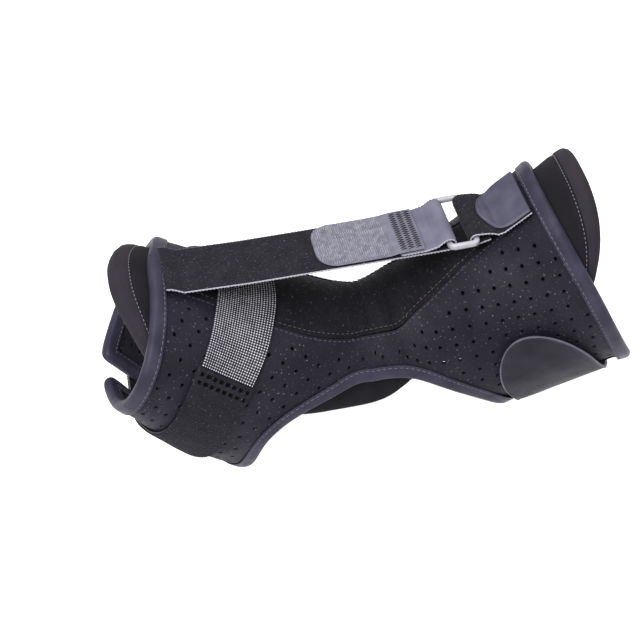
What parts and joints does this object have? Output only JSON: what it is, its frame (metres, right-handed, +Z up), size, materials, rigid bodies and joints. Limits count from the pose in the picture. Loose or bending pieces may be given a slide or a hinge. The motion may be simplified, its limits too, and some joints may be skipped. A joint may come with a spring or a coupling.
{
  "type": "plantar fasciitis night splint",
  "caption": "Soft dorsal night splint for a left foot in its worn form: wrap with padded tongue, forefoot band, strap through a ring over the instep, open heel.",
  "frame": {"origin": "centre of the wearer's ankle joint, inside the hollow of the splint", "axes": "+X from the toes towards the leg, +Z up, -Y towards the outer side of the left foot"},
  "size_m": [0.3203, 0.126, 0.1786],
  "materials": {
    "perforated_shell": "perforated laminated knit, near black with a violet cast",
    "plush": "short brushed pile, near black",
    "binding_tape": "smooth folded tape, dark violet grey",
    "ribbed_foam": "cloth-faced foam with fine ribs, black brown",
    "woven_elastic": "woven elastic webbing, mid grey",
    "loop_strap": "brushed loop webbing, near black",
    "closure_tab": "smooth laminated tape, dark grey violet",
    "hook_tape": "moulded hook tape, grey",
    "ring_plastic": "moulded, light grey"
  },
  "bodies": {
    "root": {"outer_panel": "perforated_shell", "inner_panel": "perforated_shell", "dorsal_panel": "plush", "edge_binding": "binding_tape", "instep_pad": "ribbed_foam", "forefoot_elastic": "woven_elastic", "forefoot_strap": "loop_strap", "calf_closure": "closure_tab", "ring_buckle": "ring_plastic", "tension_strap": "loop_strap", "hook_tab": "hook_tape", "anchor_strap": "loop_strap", "shin_tab": "closure_tab"}
  },
  "joints": []
}
